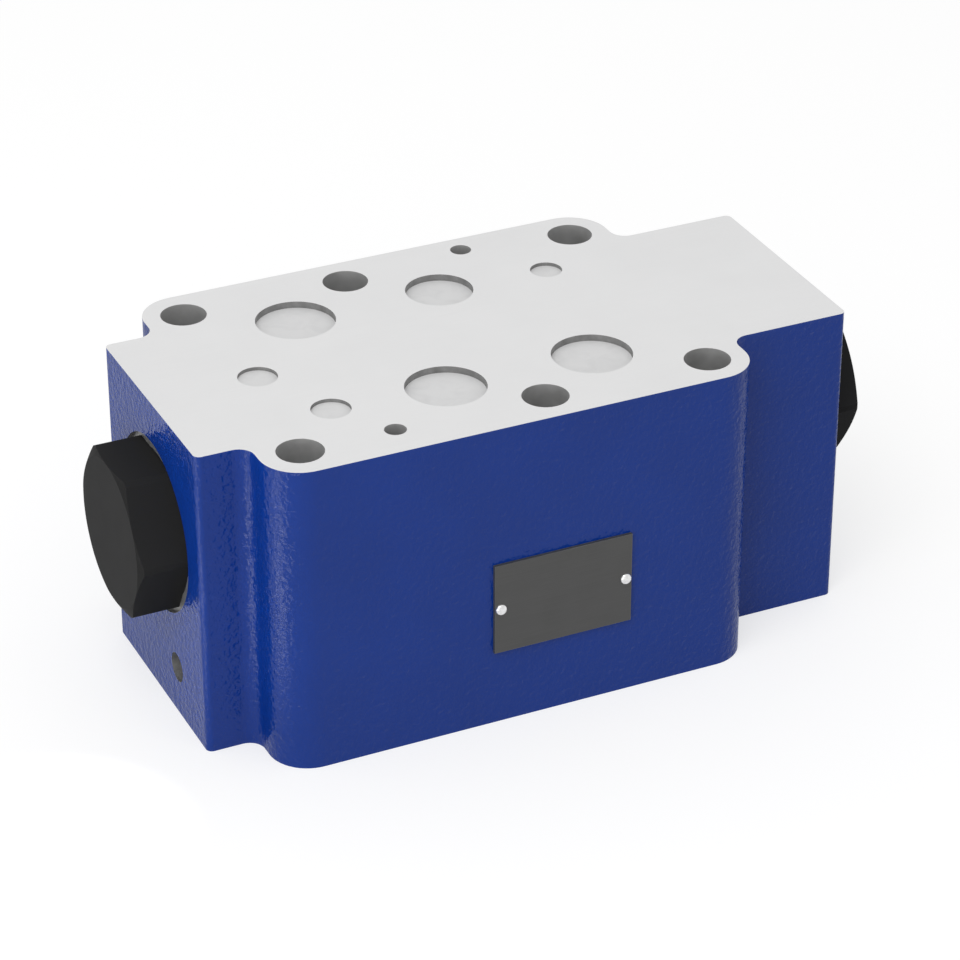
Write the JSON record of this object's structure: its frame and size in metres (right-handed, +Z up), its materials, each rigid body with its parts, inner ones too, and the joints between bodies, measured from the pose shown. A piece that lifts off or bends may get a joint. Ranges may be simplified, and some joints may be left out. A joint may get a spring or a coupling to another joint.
{
  "type": "hydraulic lock valve",
  "caption": "Sandwich-plate double pilot-operated check valve: blue cast housing with a standard bolt and port pattern, hexagon screw plug at each end of the main bore.",
  "frame": {"origin": "the middle of the four corner bolts, on the bottom face", "axes": "+X along the main bore towards the end nearer the Y port, +Z up from the bottom face to the top face, +Y to the side with the P and T ports"},
  "size_m": [0.239, 0.1194, 0.1],
  "materials": {
    "blue_paint": "satin",
    "black_steel": "satin",
    "ground_steel": "satin",
    "bright_steel": "polished",
    "spring_steel": "satin",
    "seal_rubber": "matte",
    "pale_plastic": "matte",
    "dark_plate": "satin"
  },
  "bodies": {
    "housing": {"valve_housing": "blue_paint", "nameplate": "dark_plate", "gallery_plug": "ground_steel", "left_nameplate_stud": "bright_steel", "right_nameplate_stud": "bright_steel", "port_seal_p": "seal_rubber", "dust_plug_p": "pale_plastic", "port_seal_t": "seal_rubber", "dust_plug_t": "pale_plastic", "port_seal_a": "seal_rubber", "dust_plug_a": "pale_plastic", "port_seal_b": "seal_rubber", "dust_plug_b": "pale_plastic", "port_seal_x": "seal_rubber", "dust_plug_x": "pale_plastic", "port_seal_y": "seal_rubber", "dust_plug_y": "pale_plastic", "port_seal_l": "seal_rubber", "dust_plug_l": "pale_plastic", "left_screw_plug": "black_steel", "left_plug_seal": "seal_rubber", "left_seat_bushing": "ground_steel", "left_bushing_seal": "seal_rubber", "left_main_spring": "spring_steel", "left_pilot_spring": "spring_steel", "right_screw_plug": "black_steel", "right_plug_seal": "seal_rubber", "right_seat_bushing": "ground_steel", "right_bushing_seal": "seal_rubber", "right_main_spring": "spring_steel", "right_pilot_spring": "spring_steel"},
    "spool": {"control_spool": "ground_steel"},
    "left_poppet": {"left_main_poppet": "ground_steel"},
    "left_pilot": {"left_pilot_ball": "bright_steel", "left_ball_carrier": "ground_steel"},
    "right_poppet": {"right_main_poppet": "ground_steel"},
    "right_pilot": {"right_pilot_ball": "bright_steel", "right_ball_carrier": "ground_steel"}
  },
  "joints": [
    {"name": "spool_slide", "type": "slide", "parent": "housing", "child": "spool", "axis": [1, 0, 0], "range_m": [-0.0015, 0.0015]},
    {"name": "left_poppet_slide", "type": "slide", "parent": "housing", "child": "left_poppet", "axis": [-1, 0, 0], "range_m": [0, 0.0069], "stiffness_N_per_m": 6000, "springref_m": -0.011, "deforming": ["left_main_spring"]},
    {"name": "left_ball_slide", "type": "slide", "parent": "left_poppet", "child": "left_pilot", "axis": [-1, 0, 0], "range_m": [0, 0.0015], "stiffness_N_per_m": 500, "springref_m": -0.008, "deforming": ["left_pilot_spring"]},
    {"name": "right_poppet_slide", "type": "slide", "parent": "housing", "child": "right_poppet", "axis": [1, 0, 0], "range_m": [0, 0.0069], "stiffness_N_per_m": 6000, "springref_m": -0.011, "deforming": ["right_main_spring"]},
    {"name": "right_ball_slide", "type": "slide", "parent": "right_poppet", "child": "right_pilot", "axis": [1, 0, 0], "range_m": [0, 0.0015], "stiffness_N_per_m": 500, "springref_m": -0.008, "deforming": ["right_pilot_spring"]}
  ]
}
